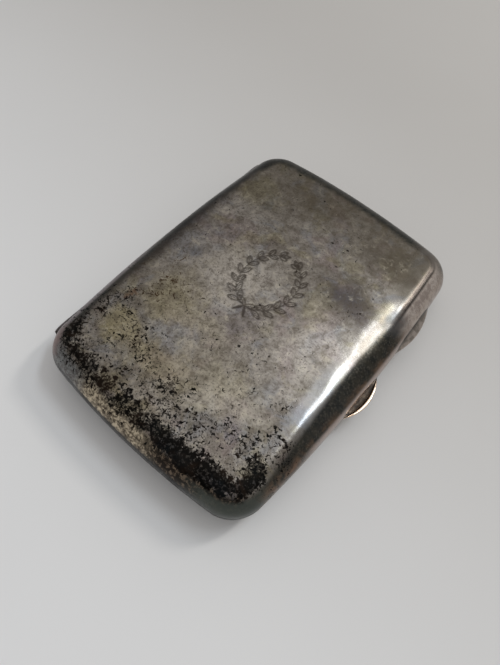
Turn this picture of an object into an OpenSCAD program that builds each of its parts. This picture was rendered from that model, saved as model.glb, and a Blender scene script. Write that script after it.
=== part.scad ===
// Pocket cigarette case: two pressed sheet halves with bowed sides and rounded edges,
// a long knuckle hinge let into one long side and two thumb pieces on the other.
// X runs from the hinge to the catch, Y along the hinge and Z up. Z = 0 is the surface
// the closed case lies on, and X = Y = 0 is the middle of the plan outline.
// All sizes are in millimetres.

/* [Case] */
// Length along the hinge, between the middles of the two ends
case_length = 83; // [76:0.5:100]
// Width, between the middles of the two long sides
case_width = 60.6; // [54:0.2:72]
// Radius of the bow of the long sides in plan
long_side_radius = 375; // [270:5:480]
// Radius of the bow of the short sides in plan
short_side_radius = 190; // [140:5:300]
// Radius of the corners in plan
corner_radius = 8; // [7:0.25:12]
// Depth of each half, from its rim to its flat
half_depth = 6.8; // [6.4:0.1:8]
// Radius of the rounded edge between wall and flat
edge_radius = 6; // [4.5:0.1:6.2]
// Thickness of the sheet metal
sheet = 0.6; // [0.4:0.05:0.8]
// Gap between the two rims when shut
seam_gap = 0.1; // [0.05:0.05:0.3]

/* [Rim] */
// Width of the strengthening wire inside the rim of the base
rim_width = 1.0; // [0.7:0.05:1.3]
// Height of the strengthening wire
rim_height = 1.2; // [0.9:0.05:1.3]

/* [Hinge] */
// Distance from each end of the hinge barrel to the end of the case
hinge_margin = 6.5; // [5.5:0.25:13.5]
// Diameter of the hinge barrel
barrel_diameter = 2.2; // [1.9:0.05:2.4]
// Diameter of the hinge pin
pin_diameter = 1.0; // [0.8:0.05:1.2]
// How far the hinge axis lies inside the widest part of the hinge side
hinge_inset = 1.1; // [0.8:0.05:1.3]
// Metal round the knuckles in the bar that they are seated in
bearer_wall = 0.35; // [0.25:0.05:0.4]
// Thickness of the flat web that closes the wall behind the barrel
web_thickness = 0.7; // [0.5:0.05:0.9]
// Length of the plug that hides each end of the pin
plug_length = 1.5; // [1:0.1:3]
// How far the domed head of the plug stands out of the barrel
plug_dome = 0.125; // [0.05:0.025:0.3]

/* [Catch] */
// Length of the thumb piece of the base along the catch side
base_thumb_length = 12.5; // [9:0.5:16]
// Length of the thumb piece of the lid along the catch side
lid_thumb_length = 12; // [9:0.5:16]
// How far the thumb piece of the base stands out past the widest part of the case
base_thumb_reach = 2.2; // [1.4:0.1:2.6]
// How far the thumb piece of the lid stands out past the widest part of the case
lid_thumb_reach = 1.0; // [0.9:0.1:2.6]
// Depth of each thumb piece, away from the seam
thumb_depth = 2.2; // [1.4:0.1:2.8]
// Place of the thumb piece of the base along the catch side
base_thumb_place = -1.5; // [-12:0.5:2]
// Place of the thumb piece of the lid along the catch side
lid_thumb_place = 19; // [16:0.5:20]
// Length of the bezel strip that stands up into the lid
bezel_length = 50; // [40:1:56]
// Thickness of the bezel strip
bezel_thickness = 0.5; // [0.35:0.05:0.6]
// How far the bezel strip stands up past the seam
bezel_rise = 1.2; // [1:0.05:1.25]
// Radius of the two snap pips on the bezel strip
pip_radius = 0.5; // [0.4:0.05:0.55]
// How far the pips stand out of the bezel strip
pip_height = 0.18; // [0.1:0.02:0.2]
// Distance between the two pips
pip_spacing = 30; // [16:1:34]

/* [Bands] */
// Width of the elastic bands
band_width = 7; // [5:0.5:10]
// Thickness of the elastic bands
band_thickness = 0.6; // [0.4:0.05:0.7]
// Length of the sewn double end of each band
band_tail = 6; // [4:0.5:10]
// Diameter of the wire staples that hold the bands
staple_wire = 0.9; // [0.7:0.05:1]
// Distance of the band from the seam
band_drop = 0.8; // [0.6:0.05:1]

/* [Hidden] */
$fn = 96;

// Clearances
running = 0.03;        // radial, pin in the lid knuckles
turning = 0.06;        // radial, knuckle past the other half's bearer
end_play = 0.08;       // between neighbouring knuckles
flat_clearance = 0.05; // hinge faces from the plane through the axis, so that the case opens flat
pip_clearance = 0.02;  // tops of the pips from the rim wire of the lid
bezel_clearance = pip_height + pip_clearance;
web_margin = 0.3;      // top of the hinge web past the place where the wall clears the hinge
loop_clearance = 0.05; // staple wire in the loop of the band
band_clearance = 0.3;  // loop of the band from its neighbours

// Levels
seam_z = half_depth + seam_gap / 2;
flat_ease = 0.02; // how far the rounded edge would rise past the flat, which it meets at an angle
wall_height = half_depth - edge_radius + flat_ease; // straight wall below the rounded edge

// Plan outline: four large arcs joined by four corner arcs that are tangent to them
long_centre = [case_width / 2 - long_side_radius, 0];
short_centre = [0, case_length / 2 - short_side_radius];

// The point at distances ra from a and rb from b, to the left of the line from a to b
function meeting_point(a, ra, b, rb) =
    let (d = norm(b - a),
         along = (ra * ra - rb * rb + d * d) / (2 * d),
         across = sqrt(ra * ra - along * along),
         u = (b - a) / d)
    a + along * u + across * [-u.y, u.x];

tangent_centre = meeting_point(long_centre, long_side_radius - corner_radius,
                               short_centre, short_side_radius - corner_radius);
long_half_angle = atan2(tangent_centre.y - long_centre.y, tangent_centre.x - long_centre.x);
short_half_angle = atan2(tangent_centre.x - short_centre.x, tangent_centre.y - short_centre.y);
// The corners stand out by a hair, so that they overlap the ends of the large arcs
corner_swell = 0.03;
corner_centre = tangent_centre + [corner_swell, corner_swell];
corner_dip = 0.01; // how much lower the flat of the corners is, so that no two flats coincide
$dip = 0;

// X of the catch side at an inset from the outline, at a place y along it
function catch_side_x(inset, y) =
    long_centre.x + sqrt(pow(long_side_radius - inset, 2) - y * y);
// Angle at the centre of the catch side's arc for a distance y along it
function catch_angle(y) = asin(y / long_side_radius);

// Hinge
knuckle_count = 7; // in turn four on the base and three on the lid
hinge_length = case_length - 2 * hinge_margin;
hinge_x = -(case_width / 2 - hinge_inset);
hinge_face_x = hinge_x + flat_clearance;
barrel_radius = barrel_diameter / 2;
pin_radius = pin_diameter / 2;
knuckle_pitch = hinge_length / knuckle_count;
barrel_end = (hinge_length - end_play) / 2;
bearer_width = barrel_radius + bearer_wall;
bearer_height = barrel_radius + bearer_wall - seam_gap / 2;
// The web ends where the rounded wall has drawn in past the hinge faces
web_height = wall_height + web_margin
    + sqrt(pow(edge_radius, 2) - pow(edge_radius - hinge_inset, 2));

// Catch
rim_inner = sheet + rim_width;             // inset of the inner face of the base's rim wire
lid_rim_inner = rim_inner - bezel_clearance;
thumb_root = 2;                            // how deep the disc reaches into the case
pip_sink = pip_radius - pip_height;        // how deep the middle of a pip lies in the bezel
pip_rise = bezel_rise / 2 + seam_gap;      // height of the pips above the base's rim
catch_middle = (base_thumb_place + lid_thumb_place) / 2;

// Bands and their staples
wire_radius = staple_wire / 2;
hole_radius = wire_radius + loop_clearance;
loop_radius = hole_radius + band_thickness;
staple_drop = band_drop + loop_radius;
staple_length = band_width + 2 * staple_wire;
hinge_staple_x = hinge_face_x + bearer_width + band_clearance + loop_radius;
catch_staple_x = case_width / 2 - rim_inner - bezel_thickness - band_clearance - loop_radius;

far = case_length; // reaches past everything when used as a cutting size
overlap = 1;       // how far a cutting solid reaches past what it cuts
beside = 5;        // how far it reaches past both ends of a piece on the catch side

// Each half is drawn with its rim at Z = 0 and its flat at Z = half_depth
module place_lid() {
    translate([0, 0, seam_z + seam_gap / 2]) children();
}
module place_base() {
    translate([0, 0, seam_z - seam_gap / 2]) mirror([0, 0, 1]) children();
}

// A flat drawing whose X is the inset from the outline and whose Y is the height is
// swept along an arc of the outline, from the outline to an inset of reach
module sweep(centre, radius, from, to, reach) {
    translate([centre.x, centre.y, 0]) rotate([0, 0, from])
        rotate_extrude(angle = to - from, $fn = max($fn, 4 * radius)) intersection() {
            translate([radius, 0]) mirror([1, 0]) children();
            translate([radius - reach, -far / 2]) square([reach, far]);
        }
}
module along_catch_side(half_angle, middle = 0) {
    sweep(long_centre, long_side_radius, middle - half_angle, middle + half_angle,
          case_width / 2 + overlap) children();
}
module along_far_side(half_angle) {
    sweep(short_centre, short_side_radius, 90 - half_angle, 90 + half_angle,
          case_length / 2 + overlap) children();
}
module around_plan() {
    for (side = [0, 1]) {
        mirror([side, 0, 0]) along_catch_side(long_half_angle) children();
        mirror([0, side, 0]) along_far_side(short_half_angle) children();
        for (end = [0, 1], $dip = corner_dip)
            mirror([side, 0, 0]) mirror([0, end, 0])
                sweep(corner_centre, corner_radius, 0, 360, corner_radius) children();
    }
}

// Section of a half, solid: skin 0 is its outside and skin sheet its inside.
// It reaches below the rim by drop, and its flat is lower by $dip.
module half_section(skin, drop) {
    top = half_depth - skin - $dip;
    translate([skin, -drop]) square([far, wall_height + drop]);
    translate([edge_radius, -drop]) square([far, top + drop]);
    intersection() {
        translate([edge_radius, wall_height]) circle(r = edge_radius - skin);
        translate([0, wall_height]) square([edge_radius, top - wall_height]);
    }
}
module half_solid(skin, drop = 0) {
    around_plan() half_section(skin, drop);
}
// Only the stretch of it beside a piece on the catch side
module catch_side_solid(skin, place, length) {
    along_catch_side(catch_angle(length / 2 + beside), catch_angle(place))
        half_section(skin, overlap);
}

// Space taken by the hinge: the flat web and the bar below it
module web_space(x_from) {
    translate([x_from, -hinge_length / 2, 0])
        cube([hinge_face_x + web_thickness - x_from, hinge_length, web_height]);
}
module bar_space(x_from) {
    translate([x_from, -hinge_length / 2, 0])
        cube([hinge_face_x + bearer_width - x_from, hinge_length, bearer_height]);
}

// Pressed halves
module half_shell() {
    difference() {
        half_solid(0);
        half_solid(sheet, overlap);
        web_space(-far);
        bar_space(-far);
    }
}
module base_shell() {
    color([0.50, 0.47, 0.43]) place_base() half_shell();
}
module lid_shell() {
    color([0.54, 0.51, 0.47]) place_lid() half_shell();
}

// Strengthening wires inside the rims
module half_rim(inner) {
    difference() {
        intersection() {
            half_solid(sheet);
            translate([-far, -far, 0]) cube([2 * far, 2 * far, rim_height]);
        }
        around_plan() translate([inner, -overlap]) square([far, rim_height + 2 * overlap]);
        web_space(-far);
        bar_space(-far);
    }
}
module base_rim() {
    color([0.80, 0.66, 0.38]) place_base() half_rim(rim_inner);
}
module lid_rim() {
    color([0.80, 0.66, 0.38]) place_lid() half_rim(lid_rim_inner);
}

// Hinge
function knuckle_start(i) = i * knuckle_pitch - hinge_length / 2 + end_play / 2;
function knuckle_end(i) = knuckle_start(i + 1) - end_play;

// A rod along the hinge axis, in the frame of the closed case
module axis_rod(radius, from, to) {
    translate([hinge_x, from, seam_z]) rotate([-90, 0, 0]) cylinder(r = radius, h = to - from);
}
// The same in the frame of a half, whose rim lies half a seam gap from the axis
module axis_rod_in_half(radius, from, to) {
    translate([hinge_x, from, -seam_gap / 2]) rotate([-90, 0, 0])
        cylinder(r = radius, h = to - from);
}
// own is 0 for the half that holds the first knuckle, and 1 for the other
module half_bearer(own) {
    difference() {
        union() {
            intersection() {
                web_space(hinge_face_x);
                half_solid(0);
            }
            bar_space(hinge_face_x);
        }
        axis_rod_in_half(barrel_radius, -hinge_length / 2 - overlap, hinge_length / 2 + overlap);
        for (i = [1 - own : 2 : knuckle_count - 1])
            axis_rod_in_half(barrel_radius + turning,
                             knuckle_start(i) - end_play, knuckle_end(i) + end_play);
    }
}
module base_hinge_bearer() {
    color([0.62, 0.58, 0.52]) place_base() half_bearer(0);
}
module lid_hinge_bearer() {
    color([0.62, 0.58, 0.52]) place_lid() half_bearer(1);
}
module knuckle(i, bore_radius) {
    color([0.66, 0.63, 0.58]) difference() {
        axis_rod(barrel_radius, knuckle_start(i), knuckle_end(i));
        axis_rod(bore_radius, knuckle_start(i) - overlap, knuckle_end(i) + overlap);
    }
}
module base_knuckle(n) {
    knuckle(2 * (n - 1), pin_radius);
}
module lid_knuckle(n) {
    knuckle(2 * n - 1, pin_radius + running);
}
module hinge_pin() {
    color([0.70, 0.68, 0.62])
        axis_rod(pin_radius, plug_length - barrel_end, barrel_end - plug_length);
}
// Plug with a low domed head that stands out of the end of the barrel
module hinge_plug(end) {
    color([0.66, 0.63, 0.58]) mirror([0, end, 0]) {
        axis_rod(pin_radius, -barrel_end, plug_length - barrel_end);
        intersection() {
            translate([hinge_x, pin_radius - barrel_end, seam_z]) sphere(r = pin_radius + plug_dome);
            axis_rod(pin_radius, -barrel_end - pin_radius, -barrel_end);
        }
    }
}

// Thumb pieces: part of a round-edged disc whose flat face lies in the seam
module half_thumb_piece(place, length, reach) {
    radius = (pow(length / 2, 2) + pow(reach, 2)) / (2 * reach);
    half_width = length / 2 + beside - overlap;
    difference() {
        intersection() {
            translate([case_width / 2 + reach - radius, place, 0]) rotate_extrude() {
                square([radius - thumb_depth, thumb_depth]);
                intersection() {
                    translate([radius - thumb_depth, 0]) circle(r = thumb_depth);
                    square([radius, thumb_depth]);
                }
            }
            translate([case_width / 2 - thumb_root, place - half_width, 0])
                cube([thumb_root + reach, 2 * half_width, thumb_depth]);
        }
        catch_side_solid(0, place, length);
    }
}
module base_thumb_piece() {
    color([0.55, 0.45, 0.38]) place_base()
        half_thumb_piece(base_thumb_place, base_thumb_length, base_thumb_reach);
}
module lid_thumb_piece() {
    color([0.55, 0.52, 0.50]) place_lid()
        half_thumb_piece(lid_thumb_place, lid_thumb_length, lid_thumb_reach);
}

// Snap catch: a strip inside the base's rim whose two pips click past the lid's rim
module bezel_strip() {
    color([0.82, 0.68, 0.40]) place_base() along_catch_side(catch_angle(bezel_length / 2))
        translate([rim_inner, -seam_gap - bezel_rise])
            square([bezel_thickness, rim_height + seam_gap + bezel_rise]);
}
module catch_pips() {
    color([0.82, 0.68, 0.40]) place_base()
        for (y = [catch_middle - pip_spacing / 2, catch_middle + pip_spacing / 2])
            translate([catch_side_x(rim_inner, y), y, -pip_rise]) rotate([0, 90, catch_angle(y)])
                rotate_extrude() intersection() {
                    translate([0, -pip_sink]) circle(r = pip_radius);
                    square([pip_radius, pip_radius]);
                }
}

// Wire staples: a bar for the loop of the band and two legs to the wall
module half_staple(x, wall_x) {
    translate([x, 0, staple_drop]) {
        rotate([90, 0, 0]) cylinder(r = wire_radius, h = staple_length, center = true);
        for (side = [-1, 1])
            translate([0, side * (staple_length / 2 - wire_radius), 0])
                rotate([0, sign(wall_x - x) * 90, 0])
                    cylinder(r = wire_radius, h = abs(wall_x - x));
    }
}
module half_hinge_staple() {
    half_staple(hinge_staple_x, hinge_face_x + web_thickness);
}
module half_catch_staple() {
    intersection() {
        half_staple(catch_staple_x, case_width / 2);
        catch_side_solid(sheet, 0, staple_length);
    }
}
module base_hinge_staple() {
    color([0.80, 0.66, 0.38]) place_base() half_hinge_staple();
}
module base_catch_staple() {
    color([0.80, 0.66, 0.38]) place_base() half_catch_staple();
}
module lid_hinge_staple() {
    color([0.80, 0.66, 0.38]) place_lid() half_hinge_staple();
}
module lid_catch_staple() {
    color([0.80, 0.66, 0.38]) place_lid() half_catch_staple();
}

// Elastic bands, looped round the staples with a sewn double end
module band_end() {
    translate([0, staple_drop]) circle(r = loop_radius);
    polygon([
        [0, band_drop],
        [band_tail, band_drop],
        [band_tail, band_drop + 2 * band_thickness],
        [0, staple_drop + loop_radius]
    ]);
}
module half_band() {
    rotate([90, 0, 0]) linear_extrude(height = band_width, center = true) difference() {
        union() {
            translate([hinge_staple_x, band_drop])
                square([catch_staple_x - hinge_staple_x, band_thickness]);
            translate([hinge_staple_x, 0]) band_end();
            translate([catch_staple_x, 0]) mirror([1, 0]) band_end();
        }
        for (x = [hinge_staple_x, catch_staple_x])
            translate([x, staple_drop]) circle(r = hole_radius);
    }
}
module base_band() {
    color([0.16, 0.14, 0.13]) place_base() half_band();
}
module lid_band() {
    color([0.16, 0.14, 0.13]) place_lid() half_band();
}

base_shell();
base_rim();
base_hinge_bearer();
base_knuckle(1);  // base_knuckle_1
base_knuckle(2);  // base_knuckle_2
base_knuckle(3);  // base_knuckle_3
base_knuckle(4);  // base_knuckle_4
hinge_pin();
hinge_plug(0);  // hinge_plug_near
hinge_plug(1);  // hinge_plug_far
base_thumb_piece();
bezel_strip();
catch_pips();
base_hinge_staple();
base_catch_staple();
base_band();
lid_shell();
lid_rim();
lid_hinge_bearer();
lid_knuckle(1);  // lid_knuckle_1
lid_knuckle(2);  // lid_knuckle_2
lid_knuckle(3);  // lid_knuckle_3
lid_thumb_piece();
lid_hinge_staple();
lid_catch_staple();
lid_band();
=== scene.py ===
"""Cigarette case of tarnished silver: its finish and its modelled pieces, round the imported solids.

X runs from the hinge to the catch, Y along the hinge and Z up, as in the solids. Lengths in this
script are millimetres, and MM turns them into Blender's metres. Each half is drawn with its rim
at height 0 and its flat at the top, as seen from inside, and place() then puts it where it goes.
"""
import math
import bpy
import numpy as np
from mathutils import Matrix, Vector


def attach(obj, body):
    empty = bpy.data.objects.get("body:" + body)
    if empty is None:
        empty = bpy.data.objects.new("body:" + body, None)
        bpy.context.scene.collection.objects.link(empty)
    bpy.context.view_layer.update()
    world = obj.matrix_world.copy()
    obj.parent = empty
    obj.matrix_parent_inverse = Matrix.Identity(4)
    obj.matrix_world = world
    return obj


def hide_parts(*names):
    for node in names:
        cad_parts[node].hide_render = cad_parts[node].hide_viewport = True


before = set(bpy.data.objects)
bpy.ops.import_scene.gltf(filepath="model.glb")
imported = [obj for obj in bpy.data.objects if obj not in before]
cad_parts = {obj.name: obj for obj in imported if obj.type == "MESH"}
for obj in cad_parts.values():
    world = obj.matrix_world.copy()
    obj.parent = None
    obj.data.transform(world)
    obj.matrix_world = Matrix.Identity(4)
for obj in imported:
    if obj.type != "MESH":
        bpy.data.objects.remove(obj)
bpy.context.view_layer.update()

MM = 0.001

# Case, as the solids have it
CASE_LENGTH = 83.0
CASE_WIDTH = 60.6
LONG_SIDE_RADIUS = 375.0
SHORT_SIDE_RADIUS = 190.0
CORNER_RADIUS = 8.0
SHEET = 0.6
BASE_RIM = 6.8
LID_RIM = 6.9
SEAM = (BASE_RIM + LID_RIM) / 2

# Section of each half: straight wall, rounded edge, and the crown that the lid rises to
LID_SECTION = {"wall": 0.3, "edge": 5.4, "crown": 1.06}
BASE_SECTION = {"wall": 0.86, "edge": 5.92, "crown": 0.0}
LIP = 0.12

# Strengthening wires inside the rims
RIM_HEIGHT = 1.2
BASE_RIM_INNER = 1.6
LID_RIM_INNER = 1.4

# Hinge
HINGE_X = -29.2
HINGE_FACE = -29.15
HINGE_HALF = 35.0
KNUCKLES = 7
KNUCKLE_PITCH = 2 * HINGE_HALF / KNUCKLES
BARREL_RADIUS = 1.1
END_TAPER = 3.2
END_RADIUS = 0.62
PIN_RADIUS = 0.5
RUNNING = 0.03
TURNING = 0.06
END_PLAY = 0.08
STEP_GAP = 0.01
NOTCH = 1.15
NOTCH_FADE = 3.2
BAR_INNER = -27.7
BAR_HEIGHT = 1.4

# Bands and staples
STAPLE_X = {"hinge": -26.3, "catch": 26.8}
STAPLE_FOOT_X = {"hinge": -28.75, "catch": 29.55}
STAPLE_DROP = 1.9
STAPLE_BEND = 0.75
WIRE_RADIUS = 0.45
BAND_WIDTH = 7.0
BAND_THICKNESS = 0.6
BAND_DROP = 0.8
BAND_TAIL = 6.0


def place(points, half):
    """Points of a half, drawn with its rim at height 0, in the frame of the closed case."""
    placed = np.array(points, float)
    if half == "lid":
        placed[:, 2] += LID_RIM
    elif half == "base":
        placed[:, 2] = BASE_RIM - placed[:, 2]
    return placed


def make_piece(name, points, faces, materials, slot, half=None, body=None, replaces=(),
               face_materials=None, values=None, sharp=35.0):
    """A mesh piece in millimetres. A half that is turned over has its faces turned too."""
    placed = place(points, half)
    if half == "base":
        faces = [tuple(reversed(face)) for face in faces]
    mesh = bpy.data.meshes.new(name)
    mesh.from_pydata((placed * MM).tolist(), [], [tuple(int(i) for i in face) for face in faces])
    for material in materials:
        mesh.materials.append(material)
    if face_materials is not None:
        mesh.polygons.foreach_set("material_index", np.asarray(face_materials, np.int32))
    for key, numbers in (values or {}).items():
        layer = mesh.attributes.new(key, "FLOAT", "POINT")
        layer.data.foreach_set("value", np.asarray(numbers, np.float32))
    mesh.polygons.foreach_set("use_smooth", np.ones(len(mesh.polygons), bool))
    mesh.set_sharp_from_angle(angle=math.radians(sharp))
    mesh.update()
    piece = bpy.data.objects.new(name, mesh)
    bpy.context.scene.collection.objects.link(piece)
    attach(piece, body or half)
    if replaces:
        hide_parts(*replaces)


def make_swept(name, rows, material, flip=False, **placing):
    """A piece whose closed section runs through rows of points, with flat ends."""
    rows = np.array(rows, float)
    faces = swept_faces(len(rows), rows.shape[1], flip)
    make_piece(name, rows.reshape(-1, 3), faces, [material], **placing)


def smoothstep(value, low, high):
    t = np.clip((value - low) / (high - low), 0, 1)
    return t * t * (3 - 2 * t)


def soft_max(value, limit, softness):
    """Never under the limit, and rounded over where it meets it."""
    return limit + softness * np.logaddexp(0, (value - limit) / softness)


def curve_through(knots, count):
    """A smooth curve through the knots: a Catmull-Rom spline in even steps of its parameter."""
    knots = np.array(knots, float)
    padded = np.vstack([2 * knots[0] - knots[1], knots, 2 * knots[-1] - knots[-2]])
    spans = len(knots) - 1
    result = []
    for step in np.linspace(0, spans, count):
        k = min(int(step), spans - 1)
        t = step - k
        a, b, c, d = padded[k:k + 4]
        result.append(0.5 * (2 * b + (c - a) * t + (2 * a - 5 * b + 4 * c - d) * t ** 2
                             + (3 * b - a - 3 * c + d) * t ** 3))
    return np.array(result)


def ring_faces(rows, columns, closed_rows=False, closed_columns=True):
    """Quads between rows of points, numbered row by row."""
    faces = []
    for r in range(rows if closed_rows else rows - 1):
        for c in range(columns if closed_columns else columns - 1):
            next_r = (r + 1) % rows
            next_c = (c + 1) % columns
            faces.append((r * columns + c, r * columns + next_c,
                          next_r * columns + next_c, next_r * columns + c))
    return faces


def swept_faces(rows, columns, flip=False):
    """Faces of a closed section that is swept along rows, with flat ends."""
    faces = ring_faces(rows, columns)
    faces.append(tuple(range(columns))[::-1])
    faces.append(tuple(range((rows - 1) * columns, rows * columns)))
    return [face[::-1] for face in faces] if flip else faces


# Plan outline: four large arcs joined by four corner arcs that are tangent to them
def tangent_corner():
    """Middle of the corner arc at +X +Y."""
    long_centre = np.array([CASE_WIDTH / 2 - LONG_SIDE_RADIUS, 0])
    short_centre = np.array([0, CASE_LENGTH / 2 - SHORT_SIDE_RADIUS])
    ra = LONG_SIDE_RADIUS - CORNER_RADIUS
    rb = SHORT_SIDE_RADIUS - CORNER_RADIUS
    apart = np.linalg.norm(short_centre - long_centre)
    along = (ra ** 2 - rb ** 2 + apart ** 2) / (2 * apart)
    across = math.sqrt(ra ** 2 - along ** 2)
    u = (short_centre - long_centre) / apart
    return long_centre + along * u + across * np.array([-u[1], u[0]])


CORNER = tangent_corner()
CORNER_STEPS = 8
# Angles on the corner arc where the hinge ends, and where the rim has stepped down beside it
HINGE_END = math.asin((HINGE_HALF - CORNER[1]) / CORNER_RADIUS)
HINGE_BESIDE = math.asin((HINGE_HALF + 0.05 - CORNER[1]) / CORNER_RADIUS)


def corner_angles(flank, hinge_side):
    """Angles of the columns of half a corner arc, without its two ends."""
    angles = np.linspace(flank, math.pi / 4, CORNER_STEPS + 1)[1:-1]
    if not hinge_side:
        return angles
    angles[np.argmin(np.abs(angles - HINGE_END))] = HINGE_END
    return np.sort(np.append(angles, HINGE_BESIDE))


def side_columns(stations, half_extent, radius, corner, turn):
    """Arc centre, radius and angle of each column of one side, which is drawn as facing +X."""
    flank = math.atan2(corner[1], corner[0] - half_extent + radius)
    angles = corner_angles(flank, radius == LONG_SIDE_RADIUS)
    columns = [(corner[0], -corner[1], CORNER_RADIUS, -math.pi / 4)]
    columns += [(corner[0], -corner[1], CORNER_RADIUS, -angle) for angle in angles[::-1]]
    columns += [(half_extent - radius, 0, radius, math.asin(s / radius)) for s in stations]
    columns += [(corner[0], corner[1], CORNER_RADIUS, angle) for angle in angles]
    columns = np.array(columns)
    turned = columns.copy()
    turned[:, 0] = columns[:, 0] * math.cos(turn) - columns[:, 1] * math.sin(turn)
    turned[:, 1] = columns[:, 0] * math.sin(turn) + columns[:, 1] * math.cos(turn)
    turned[:, 3] += turn
    return turned


def side_reach(half_extent, radius, corner):
    """Half the width of a side's large arc."""
    return radius * math.sin(math.atan2(corner[1], corner[0] - half_extent + radius))


LONG_REACH = side_reach(CASE_WIDTH / 2, LONG_SIDE_RADIUS, CORNER)
SHORT_REACH = side_reach(CASE_LENGTH / 2, SHORT_SIDE_RADIUS, CORNER[::-1])


def graded(reach, fine_from, fine_to, fine, coarse):
    """Stations from -reach to reach, close together between fine_from and fine_to."""
    samples = np.linspace(-reach, reach, 4001)
    blend = 2.0
    close = smoothstep(samples, fine_from - blend, fine_from) \
        * smoothstep(-samples, -fine_to - blend, -fine_to)
    steps = np.cumsum(1 / (coarse + (fine - coarse) * close)) * (samples[1] - samples[0])
    steps -= steps[0]
    count = 2 * round(steps[-1] / 2)
    return np.interp(np.linspace(0, steps[-1], count + 1), steps, samples)


def plan_columns(across, along):
    """Columns round the outline, counter-clockwise from the middle of the corner at -X -Y."""
    return np.vstack([
        side_columns(across, CASE_LENGTH / 2, SHORT_SIDE_RADIUS, CORNER[::-1], -math.pi / 2),
        side_columns(along, CASE_WIDTH / 2, LONG_SIDE_RADIUS, CORNER, 0),
        side_columns(-across[::-1], CASE_LENGTH / 2, SHORT_SIDE_RADIUS, CORNER[::-1], math.pi / 2),
        side_columns(-along[::-1], CASE_WIDTH / 2, LONG_SIDE_RADIUS, CORNER, math.pi),
    ])


def column_points(columns, inset):
    """X and Y of each column at an inset from the outline."""
    radius = columns[:, 2] - inset
    return np.column_stack([columns[:, 0] + radius * np.cos(columns[:, 3]),
                            columns[:, 1] + radius * np.sin(columns[:, 3])])


def catch_side_x(inset, y):
    return CASE_WIDTH / 2 - LONG_SIDE_RADIUS + np.sqrt((LONG_SIDE_RADIUS - inset) ** 2 - y ** 2)


def section_point(skin, distance, section):
    """Inset and height of a skin, at a distance along the outside from the rim."""
    angle = np.maximum(distance - section["wall"], 0) / section["edge"]
    radius = section["edge"] - skin
    inset = section["edge"] - radius * np.cos(angle)
    height = np.minimum(distance, section["wall"]) + radius * np.sin(angle)
    return inset, height


# Small dents and the slight waves of thin old sheet: place, radius and depth
DENTS = [
    (24.6, 18.2, 3.0, 0.06),
    (17.5, 32.5, 2.2, 0.06),
    (-12.0, -24.0, 5.0, 0.04),
    (9.0, -31.0, 4.0, 0.05),
    (-20.0, 12.0, 5.0, 0.04),
    (12.0, 22.0, 6.0, 0.04),
]
WAVES = [
    (0.21, 0.09, 0.4, 0.030),
    (-0.10, 0.27, 1.9, 0.026),
    (0.38, -0.22, 3.1, 0.010),
    (0.16, 0.44, 5.2, 0.009),
    (0.62, 0.35, 0.9, 0.004),
]
# The flat rolls off a little before the rounded edge of the catch side, most in its far half
ROLL_START = 21.8
ROLL_SLANT = 0.085
ROLL_PIVOT_Y = 12.4
ROLL_WIDTH = 3.6
ROLL_DROP = 0.34
# Lowers the waves, so that no crest stands above the solids
WAVE_HEADROOM = 0.07


def waviness(x, y):
    lift = np.zeros_like(x)
    for kx, ky, phase, size in WAVES:
        lift += size * np.sin(kx * x + ky * y + phase)
    for cx, cy, radius, depth in DENTS:
        lift -= depth * np.exp(-((x - cx) ** 2 + (y - cy) ** 2) / (radius / 2) ** 2)
    start = ROLL_START + ROLL_SLANT * (ROLL_PIVOT_Y - y) + 0.25 * np.sin(0.55 * y)
    lengthwise = smoothstep(y, -34, -20) * smoothstep(-y, -20, -14)
    return lift - ROLL_DROP * smoothstep(x, start, start + ROLL_WIDTH) * lengthwise


def crown_rise(x, y, height, section):
    """How far the crown lifts a point: nothing at the rim, and most in the middle."""
    share = (1 - (2 * x / CASE_WIDTH) ** 2) * (1 - (2 * y / CASE_LENGTH) ** 2)
    full = section["wall"] + section["edge"]
    return section["crown"] * np.clip(share, 0, 1) * smoothstep(height, 0, full)


# Engraved ornament: an open wreath of small leaves, tied below
WREATH_CENTRE = (-1.0, 4.0)
WREATH_HALF_WIDTH = 6.6
WREATH_HALF_HEIGHT = 8.2
LEAF_PAIRS = 8
LEAF_LENGTH = 3.0
LEAF_HALF_WIDTH = 0.52
LEAF_LEAN = 0.62
ENGRAVED_LINE = 0.13
ENGRAVED_DEPTH = 0.05
FINE_HALF_SIZE = (9.5, 10.5)
FINE_STEP = 0.22
COARSE_STEP = 0.85
EVEN_STEP = 0.9


def leaf_distance(x, y, foot, direction, length, half_width):
    """Distance from the outline and the midrib of a pointed leaf that grows from its foot."""
    c, s = math.cos(direction), math.sin(direction)
    u = (x - foot[0]) * c + (y - foot[1]) * s - length / 2
    v = -(x - foot[0]) * s + (y - foot[1]) * c
    radius = (length ** 2 / 4 + half_width ** 2) / (2 * half_width)
    past_end = np.maximum(np.abs(u) - length / 2, 0)
    edge = np.abs(np.hypot(u, np.abs(v) + radius - half_width) - radius) + past_end
    rib = np.abs(v) + 0.06 + np.maximum(np.abs(u) - length * 0.36, 0)
    return np.minimum(edge, rib)


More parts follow.
